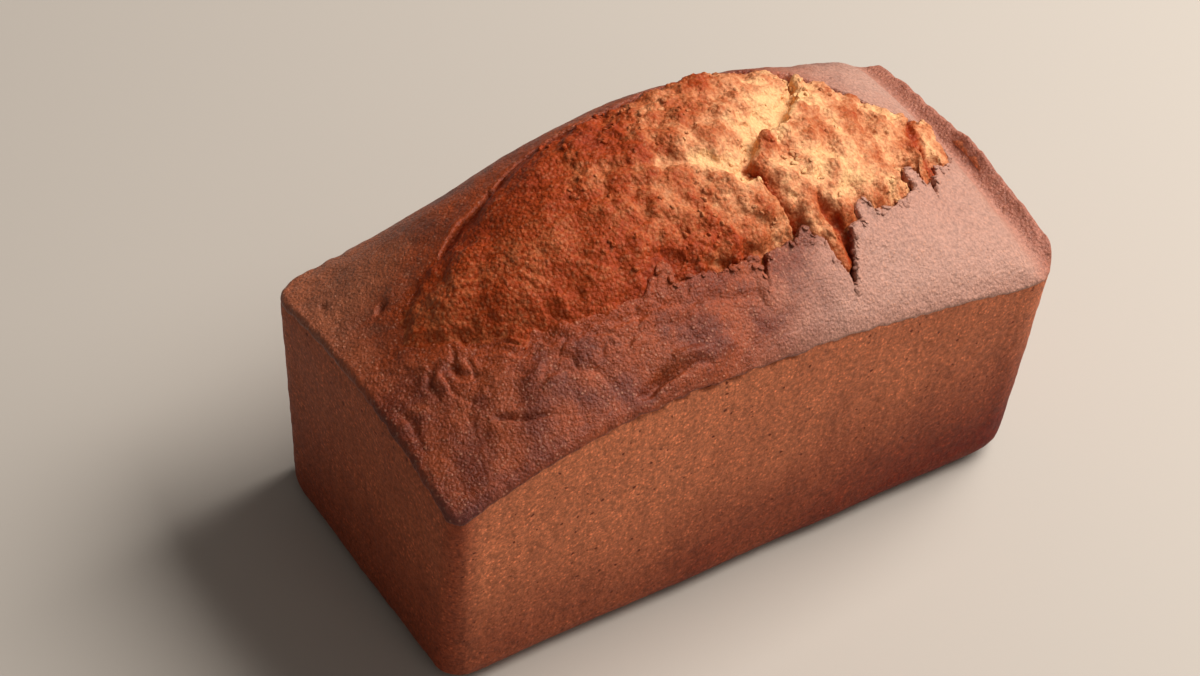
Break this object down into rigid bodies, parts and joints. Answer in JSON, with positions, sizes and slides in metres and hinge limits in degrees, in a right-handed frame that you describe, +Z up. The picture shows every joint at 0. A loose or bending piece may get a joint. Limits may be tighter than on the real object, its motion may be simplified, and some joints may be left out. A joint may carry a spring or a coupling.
{
  "type": "pound cake loaf",
  "caption": "Whole uncut loaf cake baked in a tin, with straight brown sides, a matt domed crust and a long burst of golden crumb along its crest.",
  "frame": {"origin": "centre of the flat base", "axes": "+X along the loaf from its near end to its far end, +Y from its front side to its back side, +Z up"},
  "size_m": [0.177, 0.089, 0.1101],
  "materials": {
    "loaf": "matt baked crust, with rougher golden crumb along the crest"
  },
  "bodies": {
    "root": {"loaf": "loaf"}
  },
  "joints": []
}
